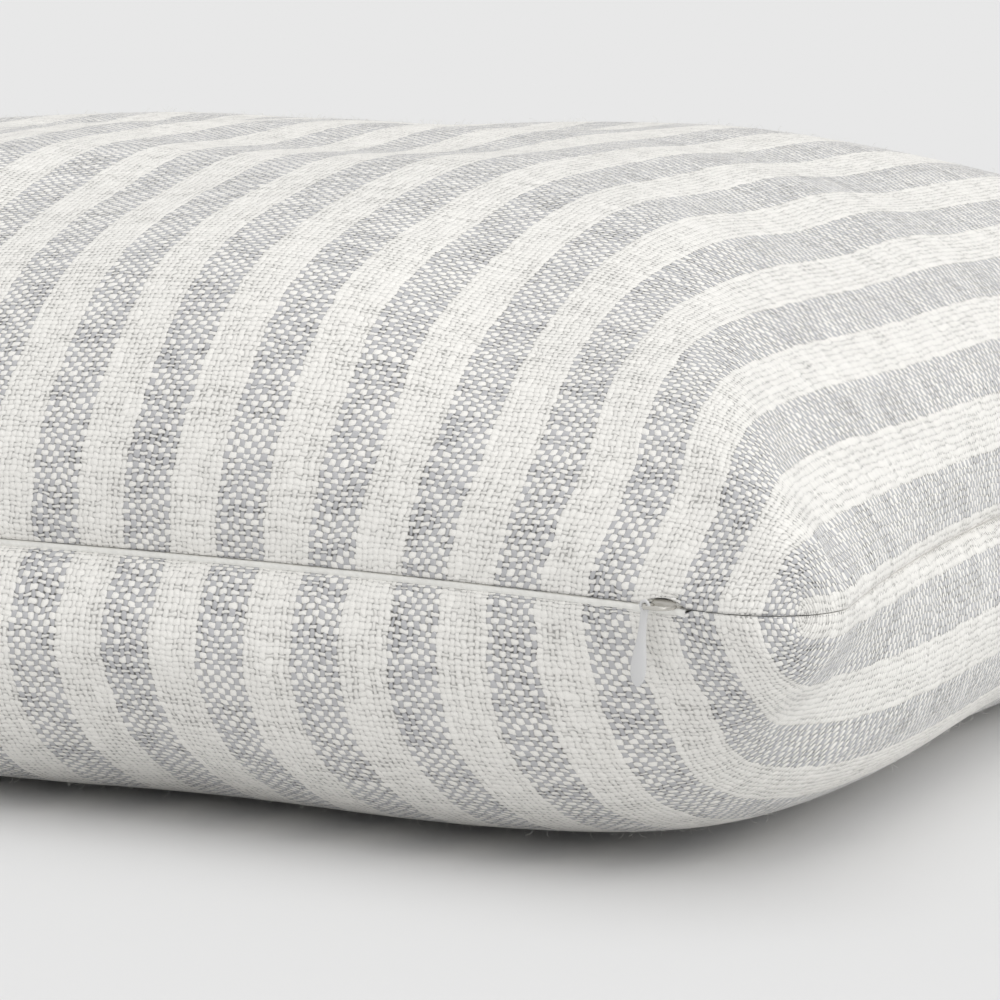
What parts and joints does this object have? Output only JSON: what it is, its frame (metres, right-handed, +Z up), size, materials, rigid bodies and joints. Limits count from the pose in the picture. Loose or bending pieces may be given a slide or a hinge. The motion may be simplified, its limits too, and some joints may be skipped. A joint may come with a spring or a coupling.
{
  "type": "throw pillow",
  "caption": "Square striped throw pillow: two-panel woven cover with a concealed edge zip, slider and hanging pull, over a fibre-filled insert.",
  "frame": {"origin": "on the floor under the middle of the pillow, which lies flat", "axes": "+Z up, +X along the zip towards its closed end, -Y towards the zip edge"},
  "size_m": [0.532, 0.5321, 0.159],
  "materials": {
    "cover_cloth": "coarse slub plain weave, light grey stripes on warm white",
    "sewing_thread": "spun polyester thread",
    "zip_tape": "white twill tape",
    "zip_coil": "extruded nylon coil",
    "slider_enamel": "glossy white enamel on die-cast zinc",
    "pull_enamel": "satin white enamel on stamped metal",
    "label_satin": "blank satin ribbon",
    "ticking": "plain non-woven ticking",
    "fibre_fill": "loose polyester fibre"
  },
  "bodies": {
    "cover": {"cover_front_panel": "cover_cloth", "cover_back_panel": "cover_cloth", "seam_thread_right": "sewing_thread", "seam_thread_rear": "sewing_thread", "seam_thread_left": "sewing_thread", "seam_thread_zip_ends": "sewing_thread", "zipper_tape_upper": "zip_tape", "zipper_tape_lower": "zip_tape", "zipper_coil_upper": "zip_coil", "zipper_coil_lower": "zip_coil", "zip_stitch_upper": "sewing_thread", "zip_stitch_lower": "sewing_thread", "zipper_top_stops": "zip_coil", "zipper_bottom_stop": "zip_coil", "care_label": "label_satin", "insert_front_shell": "ticking", "insert_back_shell": "ticking", "insert_fill": "fibre_fill", "insert_seam_thread": "sewing_thread", "insert_closing_stitch": "sewing_thread"},
    "slider": {"zipper_slider": "slider_enamel"},
    "pull": {"zipper_pull": "pull_enamel"}
  },
  "joints": [
    {"name": "slider_travel", "type": "hinge", "parent": "cover", "child": "slider", "pos_m": [0, -1.02326, 0.069], "axis": [0, 0, 1], "range_deg": [0, 33.17]},
    {"name": "pull_swing", "type": "hinge", "parent": "slider", "child": "pull", "pos_m": [0.22334, -0.2625, 0.069], "axis": [0.2854, 0.9584, 0], "range_deg": [-60, 90]}
  ]
}
